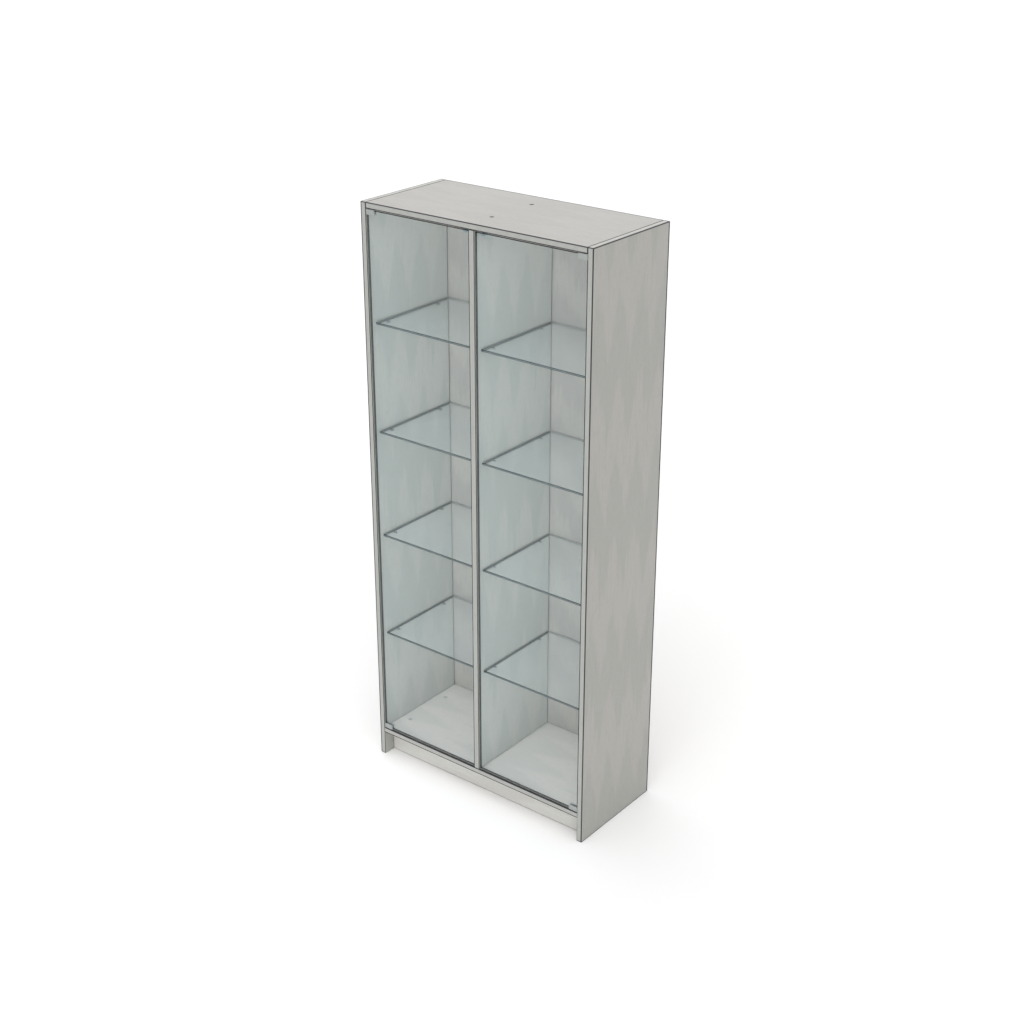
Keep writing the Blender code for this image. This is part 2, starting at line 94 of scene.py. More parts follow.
# Colours of the boards, as sRGB 0 to 255: the light and the dark of each one's grain
BOARD_TONES = ((187, 184, 179), (177, 177, 172))
# The plinth's tones are painted lighter than the other boards': painted light against the shade under the
# carcass's overhang.
PLINTH_PAINTED_LIGHT_TONES = ((229, 229, 225), (220, 219, 214))
# The top's tones are painted darker than the side boards': painted shade that offsets the top lamp and the
# rear lamp's glint on the top.
TOP_PAINTED_SHADE_TONES = ((173, 171, 167), (169, 167, 163))
BOTTOM_TONES = ((194, 186, 180), (186, 180, 175))
BACK_TONES = ((172, 165, 158), (164, 158, 153))
RAW_TONES = ((186, 177, 163), (168, 157, 142))
BAND_TONE = (181, 183, 179)
CORE_TONE = (50, 51, 54)

# Flame grain of the boards: chevrons that repeat across and along the grain, in metres
Flames = namedtuple("Flames", "across along rise across_shift along_shift")
BOARD_FLAMES = Flames(across=0.100, along=0.470, rise=0.190, across_shift=0.050, along_shift=0.0)
BACK_FLAMES = Flames(across=0.240, along=0.195, rise=0.120, across_shift=-0.035, along_shift=-0.092)
FLAME_WAVER = 0.030
FLAME_SPAN = (0.14, 0.34)
WAVERS_ACROSS_METRE = 22.0
WAVERS_ALONG_METRE = 9.0
STREAKS_ACROSS_METRE = 90.0
STREAKS_ALONG_METRE = 2.0
STREAK_SHARE = 0.9

# Fine fibres and pores of the foil: their size in metres, how many levels darker they are and their share
FIBRE_WIDTH = 0.0011
FIBRE_LENGTH = 0.070
FIBRE_DEPTH = 9
FIBRE_SPAN = (0.35, 0.75)
FIBRE_SHARE = 0.5
PORE_WIDTH = 0.0007
PORE_LENGTH = 0.022
PORE_DEPTH = 22
PORE_SPAN = (0.58, 0.70)
PORE_SHARE = 0.6

# Shine and relief of the boards, and the flecks and clouds of a bare face
BOARD_ROUGHNESS = (0.46, 0.62)
BOARD_SHINE = 0.3
BOARD_BUMP = 0.12
BOARD_RELIEF = 0.0004
FLECKS_PER_METRE = 420.0
FLECK_SPAN = (0.38, 0.66)
CLOUDS_PER_METRE = 7.0
CLOUD_SHARE = 0.25

# Dark line of the boards' core along eased edges, and the edge band, in metres. The outer line follows the
# carcass's own edges, from a box moved in at the sides and the rear and out at the front. A point counts as
# on a face within the face's skin.
CORE_LINE = 0.0016
TOP_LINE = 0.0034
BOTTOM_LINE = 0.0002
BOTTOM_STRIP = 0.0056
FRONT_RULE = 0.0034
FACE_SKIN = 0.0003
OUTER_LINE = 0.0032
SIDE_LINE_EXTRA = 0.0010
FRONT_LINE_CUT = 0.0012
REAR_LINE_EXTRA = 0.0030
EDGE_BAND = 0.0009
CARCASS_BOX = (
    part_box("side_panel_left")[0] + Vector((SIDE_LINE_EXTRA, -FRONT_LINE_CUT, 0.0)),
    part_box("side_panel_right")[1] - Vector((SIDE_LINE_EXTRA, REAR_LINE_EXTRA, 0.0)))

# Share of a line's width that is fully dark, before it fades out
LINE_CORE = 0.6
BAND_CORE = 0.7
RULE_CORE = 0.8
BORE_CORE = 0.9
GLASS_RIM_CORE = 0.5
GLASS_LINE_CORE = 0.7

# Glass: colours as sRGB 0 to 255, the width of the dark arris in metres, and shares of shine and of a pale
# diffuse layer, which is painted light that lifts the shade the shelves cast. Rear_share is how much of the
# edges' darkness is left at the rear.
Glass = namedtuple("Glass", "tint edge_tone line shine haze rear_share")
DOOR_GLASS = Glass(
    tint=(248, 253, 255), edge_tone=(112, 121, 121), line=0.0017, shine=0.015, haze=0.0, rear_share=1.0)
SHELF_GLASS = Glass(
    tint=(253, 254, 254), edge_tone=(130, 138, 137), line=0.0024, shine=0.04, haze=0.07, rear_share=0.40)
GLASS_LINE_TONE = (24, 26, 28)
# Tone of the pale diffuse layer on the shelves: painted light that lifts the shade the shelves cast.
SHADE_LIFT_TONE = (228, 232, 231)
GLASS_EDGE = 0.0004
GLASS_EDGE_ROUGHNESS = 0.35
GLASS_EDGE_SHINE = 0.2
GLASS_EDGE_SHARE = 0.8
GLASS_LINE_SHARE = 0.95
GLASS_ROUGHNESS = (0.01, 0.05)
REAR_FADE_DEPTH = 0.004
REAR_FADE_CORE = 0.7
GRAZING_POWER = 5.0
SMEARS_PER_METRE = 9.0
SHADE_LIFT_SPREAD = (0.7, 1.3)
MOST_FACES_SEEN_THROUGH = 32

# Metal and plastic: marks in a metre, the darker tone's share of the colour, and the spread of roughness
MARKS_ALONG_METRE = 250.0
MARKS_ACROSS_METRE = 2600.0
METAL_DARK = 0.8
METAL_DARK_SHARE = 0.25
METAL_SPREAD = (-0.06, 0.10)
METAL_BUMP = 0.08
GRAINS_PER_METRE = 2200.0
SHADES_PER_METRE = 160.0
PLASTIC_DARK = 0.92
PLASTIC_DARK_SHARE = 0.3
PLASTIC_SPREAD = (-0.05, 0.10)
PLASTIC_BUMP = 0.15
FITTING_RELIEF = 0.0002

# Stretch of a noise's values that is used
NOISE_SPAN = (0.3, 0.7)
WIDE_NOISE_SPAN = (0.3, 0.8)

# Small fittings in or on the boards and clamps, in metres. A clamp's screws stand at shares of its width,
# and a thread's ridge is twice the foot share of its pitch wide.
SMOOTH_ANGLE = math.radians(35)
ROUND_STEPS = 36
HEAD_STEPS = 24
NAIL_STEPS = 14
CAP_RADIUS = 0.0072
CAP_DEPTH = 0.0014
CAP_RISE = 0.0005
NUT_RADIUS = 0.0095
NUT_FLANGE = 0.0013
NUT_BORE = 0.0045
THREAD_PITCH = 0.00125
THREAD_STEPS = 14
THREAD_ROOT = 0.0039
THREAD_CREST = 0.0044
THREAD_FOOT_SHARE = 0.42
THREAD_START = 0.0150
THREAD_STOP = 0.0025
TOP_SCREW_Y = 0.0875
TOP_SCREW_RADIUS = 0.0044
TOP_SCREW_DEPTH = 0.0018
TOP_SCREW_SINK = 0.0001
TOP_SCREW_SOCKET = 0.0040
# TOP_SCREW_RING is the radius of the dark ring round each top screw: bare core at the drilled edge, and
# painted shade of a deep hole.
TOP_SCREW_RING = 0.0070
CLAMP_HEIGHT = 0.015
CLAMP_SCREW_SHARES = (0.28, 0.70)
CLAMP_SCREW_RADIUS = 0.0026
CLAMP_SCREW_HEIGHT = 0.0008
CLAMP_SCREW_SOCKET = 0.0024
CLAMP_SOCKET_DEPTH = 0.0006
LATCH_EAR = 0.002
LATCH_SCREW_OFFSET = 0.011
LATCH_SCREW_RADIUS = 0.0031
LATCH_SCREW_HEIGHT = 0.0017
LATCH_CROSS_ARM = 0.0019
LATCH_CROSS_WEB = 0.0006
LATCH_CROSS_DEPTH = 0.0010
NAIL_INSET = 0.007
NAIL_STEP = 0.19
NAIL_ROW_STEP = 0.10
NAIL_ROW_REACH = 3
NAIL_RADIUS = 0.0028

# Outlines of turned fittings, as heights and radii in metres
CAP_RINGS = (
    (-CAP_DEPTH, CAP_RADIUS * 0.97), (0.0, CAP_RADIUS), (CAP_RISE * 0.6, CAP_RADIUS * 0.97),
    (CAP_RISE, CAP_RADIUS * 0.86), (CAP_RISE * 1.2, CAP_RADIUS * 0.3))
NUT_RINGS = (
    (0.0, NUT_RADIUS), (NUT_FLANGE * 0.7, NUT_RADIUS), (NUT_FLANGE, NUT_RADIUS * 0.93),
    (NUT_FLANGE, NUT_BORE), (0.0, NUT_BORE))
NAIL_RINGS = (
    (0.0, NAIL_RADIUS), (0.0003, NAIL_RADIUS), (0.0007, NAIL_RADIUS * 0.8), (0.0009, NAIL_RADIUS * 0.4))


def linear(colour):
    """An sRGB colour, 0 to 255, as the linear RGBA that a shader takes."""
    def channel(value):
        value /= 255
        return value / 12.92 if value <= 0.04045 else ((value + 0.055) / 1.055) ** 2.4
    return (*map(channel, colour), 1.0)


def darker(colour, levels):
    return tuple(value - levels for value in colour)


def scaled(colour, share):
    return tuple(value * share for value in colour)


class Graph:
    """One material's nodes, added and linked by short calls."""

    def __init__(self, name):
        self.material = bpy.data.materials.new(name)
        self.material.use_nodes = True
        self.tree = self.material.node_tree
        self.tree.nodes.clear()

    def add(self, kind, inputs=None, **settings):
        node = self.tree.nodes.new("ShaderNode" + kind)
        for key, value in settings.items():
            setattr(node, key, value)
        for key, value in (inputs or {}).items():
            self.feed(node.inputs[key], value)
        return node

    def feed(self, socket, value):
        if isinstance(value, bpy.types.NodeSocket):
            self.tree.links.new(value, socket)
        else:
            socket.default_value = value

    def math(self, operation, *values):
        return self.add("Math", dict(enumerate(values)), operation=operation).outputs[0]

    def largest(self, first, *others):
        for value in others:
            first = self.math("MAXIMUM", first, value)
        return first

    def position(self):
        """X, Y and Z in the piece's own frame, which is the cabinet's frame at rest."""
        place = self.add("TexCoord").outputs["Object"]
        return list(self.add("SeparateXYZ", {0: place}).outputs)

    def vector(self, *values):
        return self.add("CombineXYZ", dict(enumerate(values))).outputs[0]

    def noise(self, vector, scale=1.0, detail=2.0, roughness=0.5):
        node = self.add(
            "TexNoise", {"Vector": vector, "Scale": scale, "Detail": detail, "Roughness": roughness})
        return node.outputs["Fac"]

    def remap(self, value, span, to=(0.0, 1.0), smooth=False):
        """A value moved from one span to another, and held at its ends."""
        node = self.add(
            "MapRange",
            {"Value": value, "From Min": span[0], "From Max": span[1], "To Min": to[0], "To Max": to[1]},
            interpolation_type="SMOOTHSTEP" if smooth else "LINEAR")
        return node.outputs["Result"]

    def within(self, distance, width, core):
        """1 where a distance is less than the core share of a width, fading to 0 at the whole width."""
        return self.remap(distance, (width, width * core))

    def mix(self, share, a, b):
        node = self.add("Mix", data_type="RGBA")
        self.feed(node.inputs["Factor"], share)
        for name, value in (("A", a), ("B", b)):
            socket = next(s for s in node.inputs if s.name == name and s.type == "RGBA")
            self.feed(socket, value)
        return next(s for s in node.outputs if s.type == "RGBA")

    def mix_shaders(self, share, a, b):
        return self.add("MixShader", {0: share, 1: a, 2: b}).outputs[0]

    def bump(self, height, strength, distance):
        node = self.add("Bump", {"Height": height, "Strength": strength, "Distance": distance})
        return node.outputs["Normal"]

    def principled(self, **inputs):
        named = {key.replace("_", " ").title().replace("Ior", "IOR"): value for key, value in inputs.items()}
        return self.add("BsdfPrincipled", named).outputs["BSDF"]

    def finish(self, shader):
        self.feed(self.add("OutputMaterial").inputs["Surface"], shader)
        return self.material


def edge_distances(g, place, low, high):
    """Along each axis, how far a point is from the nearer end of a box."""
    return [
        g.math("MINIMUM", g.math("SUBTRACT", place[i], low[i]), g.math("SUBTRACT", high[i], place[i]))
        for i in (X, Y, Z)
    ]


def arris_distance(g, place, low, high):
    """How far a point on a box's face is from that face's nearest edge: the middle of three distances."""
    a, b, c = edge_distances(g, place, low, high)
    smaller = g.math("MINIMUM", a, b)
    larger = g.math("MAXIMUM", a, b)
    return g.math("MAXIMUM", smaller, g.math("MINIMUM", larger, c))


def grain_noise(g, along, across, along_count, across_count, detail):
    """Noise on a board's face, with that many features in a metre along and across the grain."""
    stretched = g.vector(
        g.math("MULTIPLY", across, across_count), g.math("MULTIPLY", along, along_count), 0.0)
    return g.noise(stretched, detail=detail)


def flame(g, along, across, flames):
    """Chevron grain, 0 to 1: bands that step along the grain in peaks, broken into fine streaks."""
    streaks = grain_noise(g, along, across, STREAKS_ALONG_METRE, STREAKS_ACROSS_METRE, detail=4.0)
    waver = grain_noise(g, along, across, WAVERS_ALONG_METRE, WAVERS_ACROSS_METRE, detail=1.0)
    wavy = g.math("MULTIPLY_ADD", waver, FLAME_WAVER, across)
    peaks = g.math("PINGPONG", g.math("ADD", wavy, flames.across_shift - FLAME_WAVER / 2), flames.across / 2)
    lifted = g.math("MULTIPLY_ADD", peaks, 2 * flames.rise / flames.across, along)
    broken = g.math("MULTIPLY_ADD", streaks, flames.rise, lifted)
    wave = g.math("PINGPONG", g.math("DIVIDE", g.math("ADD", broken, flames.along_shift), flames.along), 0.5)
    banded = g.remap(wave, FLAME_SPAN, smooth=True)
    return g.math("MULTIPLY_ADD", g.math("SUBTRACT", streaks, 0.5), STREAK_SHARE, banded)


def fibres(g, along, across, other, width, length, detail):
    """Fine straight fibres along the grain, 0 to 1, of about that width and length."""
    stretched = g.vector(
        g.math("DIVIDE", across, width), g.math("DIVIDE", along, length), g.math("DIVIDE", other, width))
    return g.noise(stretched, detail=detail, roughness=0.6)


def foil(g, place, along, across, tones, flames, band_start):
    """Pale wood foil: its colour, its fibres and its pores. An edge band starts at band_start, if any."""
    other = ({X, Y, Z} - {along, across}).pop()
    directions = (place[along], place[across], place[other])
    light, dark = tones
    colour = g.mix(flame(g, place[along], place[across], flames), linear(light), linear(dark))
    if band_start is not None:
        depth = g.math("SUBTRACT", place[Y], band_start)
        colour = g.mix(g.within(depth, EDGE_BAND, BAND_CORE), colour, linear(BAND_TONE))
    fibre = fibres(g, *directions, FIBRE_WIDTH, FIBRE_LENGTH, detail=3.0)
    fibre_share = g.remap(fibre, FIBRE_SPAN, (0.0, FIBRE_SHARE))
    colour = g.mix(fibre_share, colour, linear(darker(dark, FIBRE_DEPTH)))
    pore = g.remap(fibres(g, *directions, PORE_WIDTH, PORE_LENGTH, detail=1.0), PORE_SPAN, smooth=True)
    colour = g.mix(g.math("MULTIPLY", pore, PORE_SHARE), colour, linear(darker(dark, PORE_DEPTH)))
    return colour, fibre, pore


def hardboard(g, place):
    """The uncoated face of pressed board, flecked with fibres."""
    light, dark = map(linear, RAW_TONES)
    flecks = g.noise(g.vector(*place), scale=FLECKS_PER_METRE, detail=4.0, roughness=0.7)
    clouds = g.noise(g.vector(*place), scale=CLOUDS_PER_METRE, detail=3.0)
    flecked = g.mix(g.remap(flecks, FLECK_SPAN), dark, light)
    return g.mix(g.remap(clouds, NOISE_SPAN, (0.0, CLOUD_SHARE)), flecked, dark)


def front_rules(g, place, low, high, strip_width):
    """Dark lines along a flat board's front: a strip on its upper face, and both edges of its front face."""
    from_front = g.math("SUBTRACT", place[Y], low[Y])
    on_top = g.math("GREATER_THAN", place[Z], high[Z] - FACE_SKIN)
    on_front = g.math("LESS_THAN", from_front, FACE_SKIN)
    from_ends = g.math("MINIMUM", *(
        g.math("ABSOLUTE", g.math("SUBTRACT", place[Z], end[Z])) for end in (low, high)))
    strip = g.math("MULTIPLY", g.within(from_front, strip_width, RULE_CORE), on_top)
    rule = g.math("MULTIPLY", g.within(from_ends, FRONT_RULE, RULE_CORE), on_front)
    return g.math("MAXIMUM", strip, rule)


def board_finish(
        node, along, across, tones=BOARD_TONES, flames=BOARD_FLAMES, line_width=CORE_LINE, banded=True,
        bare_rear=False, front_strip=None, bores=(), foot=0.0):
    """A board in pale foil with eased dark edges, and an edge band on its front where it is banded.

    Along and across are the axes of its grain. Front_strip is the width of the dark strip along the front of
    its upper face. Each bore, a place and a radius, is painted dark: bare core at the drilled edge, and
    painted shade of a deep hole. Foot lowers the lower edge's line, to hide it where the board stands on
    another.
    """
    g = Graph(node + "_finish")
    low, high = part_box(node)
    place = g.position()
    colour, fibre, pore = foil(g, place, along, across, tones, flames, low[Y] if banded else None)
    if bare_rear:
        behind = g.math("GREATER_THAN", place[Y], (low[Y] + high[Y]) / 2)
        colour = g.mix(behind, colour, hardboard(g, place))
    sunk = low - Vector((0.0, 0.0, foot))
    lines = [
        g.within(arris_distance(g, place, sunk, high), line_width, LINE_CORE),
        g.within(arris_distance(g, place, *CARCASS_BOX), OUTER_LINE, LINE_CORE),
    ]
    if front_strip is not None:
        lines.append(front_rules(g, place, low, high, front_strip))
    # Each bore is painted dark: bare core at its edge, and painted shade of its hole.
    for bore, radius in bores:
        away = g.add("VectorMath", {0: g.vector(*place), 1: bore}, operation="DISTANCE").outputs["Value"]
        lines.append(g.within(away, radius, BORE_CORE))
    return g.finish(g.principled(
        base_color=g.mix(g.largest(*lines), colour, linear(CORE_TONE)),
        roughness=g.remap(fibre, WIDE_NOISE_SPAN, BOARD_ROUGHNESS),
        specular_ior_level=BOARD_SHINE,
        normal=g.bump(g.math("SUBTRACT", fibre, pore), BOARD_BUMP, BOARD_RELIEF)))


def glass_finish(node, thin, glass):
    """A clear tinted pane with polished edges and dark arrises. Thin is the axis through the pane."""
    g = Graph(node + "_finish")
    low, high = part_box(node)
    place = g.position()
    from_rear = g.math("SUBTRACT", high[Y], place[Y])
    fade = g.remap(from_rear, (REAR_FADE_DEPTH, REAR_FADE_DEPTH * REAR_FADE_CORE), (1.0, glass.rear_share))
    distances = edge_distances(g, place, low, high)
    inward = g.math("MINIMUM", *(d for axis, d in enumerate(distances) if axis != thin))
    rim = g.math("MULTIPLY", g.within(inward, GLASS_EDGE, GLASS_RIM_CORE), fade)
    arris = arris_distance(g, place, low, high)
    line = g.math("MULTIPLY", g.within(arris, glass.line, GLASS_LINE_CORE), fade)
    smear = g.noise(g.vector(*place), scale=SMEARS_PER_METRE, detail=3.0)
    clear = g.add("BsdfTransparent", {"Color": linear(glass.tint)}).outputs[0]
    mirror = g.add("BsdfGlossy", {"Roughness": g.remap(smear, WIDE_NOISE_SPAN, GLASS_ROUGHNESS)}).outputs[0]
    facing = g.add("LayerWeight", {"Blend": 0.5}).outputs["Facing"]
    grazing = g.math("POWER", facing, GRAZING_POWER)
    polished = g.mix_shaders(g.math("MULTIPLY_ADD", grazing, 1.0 - glass.shine, glass.shine), clear, mirror)
    # A pale diffuse layer: painted light that lifts the shade that the shelves cast.
    shade_lift = g.add("BsdfDiffuse", {"Color": linear(SHADE_LIFT_TONE)}).outputs[0]
    haze = g.remap(smear, NOISE_SPAN, [glass.haze * share for share in SHADE_LIFT_SPREAD])
    edge = g.principled(
        base_color=g.mix(line, linear(glass.edge_tone), linear(GLASS_LINE_TONE)),
        roughness=GLASS_EDGE_ROUGHNESS, specular_ior_level=GLASS_EDGE_SHINE)
    solid = g.math(
        "MAXIMUM", g.math("MULTIPLY", rim, GLASS_EDGE_SHARE), g.math("MULTIPLY", line, GLASS_LINE_SHARE))
    return g.finish(g.mix_shaders(solid, g.mix_shaders(haze, polished, shade_lift), edge))


def metal_finish(name, colour, roughness, brushed):
    """Plated or brushed metal: fine marks along one axis vary its gloss."""
    g = Graph(name)
    stretched = [
        g.math("MULTIPLY", part, MARKS_ALONG_METRE if axis == brushed else MARKS_ACROSS_METRE)
        for axis, part in enumerate(g.position())
    ]
    marks = g.noise(g.vector(*stretched))
    share = g.remap(marks, NOISE_SPAN, (0.0, METAL_DARK_SHARE))
    return g.finish(g.principled(
        base_color=g.mix(share, linear(colour), linear(scaled(colour, METAL_DARK))),
        metallic=1.0,
        roughness=g.remap(marks, NOISE_SPAN, [roughness + change for change in METAL_SPREAD]),
        normal=g.bump(marks, METAL_BUMP, FITTING_RELIEF)))


def plastic_finish(name, colour, roughness):
    """Moulded plastic or coated steel with a fine, even texture."""
    g = Graph(name)
    place = g.position()
    grains = g.noise(g.vector(*place), scale=GRAINS_PER_METRE)
    shades = g.noise(g.vector(*place), scale=SHADES_PER_METRE)
    share = g.remap(shades, NOISE_SPAN, (0.0, PLASTIC_DARK_SHARE))
    return g.finish(g.principled(
        base_color=g.mix(share, linear(colour), linear(scaled(colour, PLASTIC_DARK))),
        roughness=g.remap(grains, NOISE_SPAN, [roughness + change for change in PLASTIC_SPREAD]),
        normal=g.bump(grains, PLASTIC_BUMP, FITTING_RELIEF)))


COATED = plastic_finish("powder_coat", colour=(164, 168, 166), roughness=0.5)
NICKEL = metal_finish("nickel_plate", colour=(186, 188, 190), roughness=0.22, brushed=X)
ZINC = metal_finish("zinc_plate", colour=(172, 174, 175), roughness=0.34, brushed=Z)
BLACKED = plastic_finish("blacked_steel", colour=(34, 35, 37), roughness=0.5)
DARK_PLASTIC = plastic_finish("dark_plastic", colour=(66, 68, 71), roughness=0.5)
GREY_PLASTIC = plastic_finish("grey_plastic", colour=(168, 173, 172), roughness=0.48)
CAP_PLASTIC = plastic_finish("cap_plastic", colour=(154, 158, 154), roughness=0.42)
FITTING_FINISHES = {
    "hinge_clamp": COATED, "hinge_bush": DARK_PLASTIC, "latch_body": GREY_PLASTIC,
    "latch_plunger": GREY_PLASTIC, "strike_plate": COATED, "shelf_pin": NICKEL, "divider_pin": NICKEL,
    "levelling_foot": ZINC,
}


def dress(node, material):
    for slot in NODES[node].material_slots:
        slot.material = material


def dress_boards():
    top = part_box("top_panel")[1].z
    # Dark rings round the top screws: bare core at the drilled edge, and painted shade of a deep hole.
    screw_shade_rings = [((0.0, y, top), TOP_SCREW_RING) for y in (-TOP_SCREW_Y, TOP_SCREW_Y)]
    boards = {
        "side_panel_left": dict(along=Z, across=Y),
        "side_panel_right": dict(along=Z, across=Y),
        "divider_panel": dict(along=Z, across=Y, foot=CORE_LINE),
        # The top is painted darker: painted shade that offsets the top lamp and the rear lamp's glint.
        "top_panel": dict(along=X, across=Y, tones=TOP_PAINTED_SHADE_TONES, line_width=TOP_LINE, bores=screw_shade_rings),
        "bottom_panel": dict(
            along=X, across=Y, tones=BOTTOM_TONES, line_width=BOTTOM_LINE, front_strip=BOTTOM_STRIP),
        # The plinth is painted lighter: painted light against the shade under the carcass.
        "plinth_board": dict(along=X, across=Z, tones=PLINTH_PAINTED_LIGHT_TONES, banded=False),
        "back_panel": dict(
            along=Z, across=X, tones=BACK_TONES, flames=BACK_FLAMES, banded=False, bare_rear=True),
    }
    for node, looks in boards.items():
        dress(node, board_finish(node, **looks))


def dress_glass_and_fittings():
    for node in NODES:
        if node.startswith("glass_door"):
            dress(node, glass_finish(node, Y, DOOR_GLASS))
        elif node.startswith("glass_shelf"):
            dress(node, glass_finish(node, Z, SHELF_GLASS))
        for start, material in FITTING_FINISHES.items():
            if node.startswith(start):
                dress(node, material)


def add_rings(shape, rings, place, facing, segments, closed=False):
    """Skins a stack of outlines. Each is a height and a radius, which may depend on the angle."""
    turn = Vector(UP).rotation_difference(Vector(facing)).to_matrix()
    loops = []
    for height, radius in rings:
        loop = []
        for step in range(segments):
            angle = 2 * math.pi * step / segments
            reach = radius(angle) if callable(radius) else radius
            point = Vector((reach * math.cos(angle), reach * math.sin(angle), height))
            loop.append(shape.verts.new(Vector(place) + turn @ point))
        loops.append(loop)
    pairs = list(zip(loops, loops[1:]))
    if closed:
        pairs.append((loops[-1], loops[0]))
    for lower, upper in pairs:
        for i in range(segments):
            j = (i + 1) % segments
            shape.faces.new((lower[i], lower[j], upper[j], upper[i]))
    if not closed:
        shape.faces.new(loops[0][::-1])
        shape.faces.new(loops[-1])


def hexagon(flats):
    """The outline of a hexagon, from its width across flats."""
    def reach(angle):
        return flats / 2 / math.cos((angle + math.pi / 6) % (math.pi / 3) - math.pi / 6)
    return reach


def cross(arm, web, sharpness=6):
    """The outline of a cross recess with four arms, which a higher sharpness makes narrower."""
    def reach(angle):
        return web + (arm - web) * abs(math.cos(2 * angle)) ** sharpness
    return reach


def domed_head(radius, height, recess, depth):
    """Rings of a screw head with a rounded rim and a driver recess."""
    return [
        (0.0, radius), (height * 0.45, radius * 0.985), (height * 0.8, radius * 0.88),
        (height, radius * 0.72), (height, recess), (height - depth, recess),
    ]


def add_thread(shape, x, y, low, high):
    """A ridge of triangular section that winds up a spindle."""
    turns = (high - low) / THREAD_PITCH
    half = THREAD_PITCH * THREAD_FOOT_SHARE
    section = ((THREAD_ROOT, -half), (THREAD_CREST, 0.0), (THREAD_ROOT, half))
    sections = []
    for step in range(int(turns * THREAD_STEPS) + 1):
        angle = 2 * math.pi * step / THREAD_STEPS
        rise = low + THREAD_PITCH * step / THREAD_STEPS
        sections.append([
            shape.verts.new((x + reach * math.cos(angle), y + reach * math.sin(angle), rise + offset))
            for reach, offset in section
        ])
    for here, there in zip(sections, sections[1:]):
        for i in range(3):
            j = (i + 1) % 3
            shape.faces.new((here[i], here[j], there[j], there[i]))
    shape.faces.new(sections[0][::-1])
    shape.faces.new(sections[-1])


def add_piece(name, shape, material, body):
    """Turns a shape into a smoothly shaded piece that rides a body and takes a material slot."""
    mesh = bpy.data.meshes.new(name)
    bmesh.ops.recalc_face_normals(shape, faces=shape.faces)
    shape.to_mesh(mesh)
    shape.free()
    mesh.materials.append(material)
    for face in mesh.polygons:
        face.use_smooth = True
    mesh.set_sharp_from_angle(angle=SMOOTH_ANGLE)
    piece = bpy.data.objects.new(name, mesh)
    bpy.context.scene.collection.objects.link(piece)
    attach(piece, body)


def add_floor_fittings(side, row):
    """A cover cap on the bay's floor, an insert nut under it and the thread on the foot's spindle."""
    foot_low, foot_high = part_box(f"levelling_foot_{side}_{row}")
    panel_low, panel_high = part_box("bottom_panel")
    axis = (foot_low + foot_high) / 2
    cap = bmesh.new()
    add_rings(cap, CAP_RINGS, (axis.x, axis.y, panel_high.z), UP, ROUND_STEPS)
    add_piece(f"floor_cap_{side}_{row}", cap, CAP_PLASTIC, "cabinet")
    nut = bmesh.new()
    add_rings(nut, NUT_RINGS, (axis.x, axis.y, panel_low.z), DOWN, ROUND_STEPS, closed=True)
    add_piece(f"insert_nut_{side}_{row}", nut, ZINC, "cabinet")
    thread = bmesh.new()
    add_thread(thread, axis.x, axis.y, foot_low.z + THREAD_START, panel_low.z - THREAD_STOP)
    add_piece(f"foot_thread_{side}_{row}", thread, ZINC, f"foot_{side}_{row}")


def add_top_screw(row, y):
    """A blacked screw sunk in the top panel, into the divider."""
    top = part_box("top_panel")[1].z
    socket = hexagon(TOP_SCREW_SOCKET)
    rings = (
        (-TOP_SCREW_DEPTH, TOP_SCREW_RADIUS * 0.95), (-TOP_SCREW_SINK * 2, TOP_SCREW_RADIUS),
        (-TOP_SCREW_SINK, TOP_SCREW_RADIUS * 0.93), (-TOP_SCREW_SINK, socket),
        (-TOP_SCREW_DEPTH * 0.8, socket))
    shape = bmesh.new()
    add_rings(shape, rings, (0.0, y, top), UP, ROUND_STEPS)
    add_piece(f"top_screw_{row}", shape, BLACKED, "cabinet")


def add_clamp_screws(side, end):
    """Two small socket screws on the inner cheek of a door clamp."""
    low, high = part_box(f"hinge_clamp_{side}_{end}")
    cheek_z = low.z + CLAMP_HEIGHT / 2 if end == "top" else high.z - CLAMP_HEIGHT / 2
    head = domed_head(
        CLAMP_SCREW_RADIUS, CLAMP_SCREW_HEIGHT, hexagon(CLAMP_SCREW_SOCKET), CLAMP_SOCKET_DEPTH)
    shape = bmesh.new()
    for share in CLAMP_SCREW_SHARES:
        place = (low.x + (high.x - low.x) * share, high.y, cheek_z)
        add_rings(shape, head, place, REARWARD, HEAD_STEPS)
    add_piece(f"clamp_screws_{side}_{end}", shape, BLACKED, f"door_{side}")


def add_latch_screws(side):
    """Two cross-head screws through a latch housing's ears into the top panel."""
    low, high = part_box(f"latch_body_{side}")
    middle = (low + high) / 2
    head = domed_head(
        LATCH_SCREW_RADIUS, LATCH_SCREW_HEIGHT, cross(LATCH_CROSS_ARM, LATCH_CROSS_WEB), LATCH_CROSS_DEPTH)
    shape = bmesh.new()
    for sign in (-1, 1):
        place = (middle.x + sign * LATCH_SCREW_OFFSET, middle.y, high.z - LATCH_EAR)
        add_rings(shape, head, place, DOWN, HEAD_STEPS)
    add_piece(f"latch_screws_{side}", shape, ZINC, "cabinet")


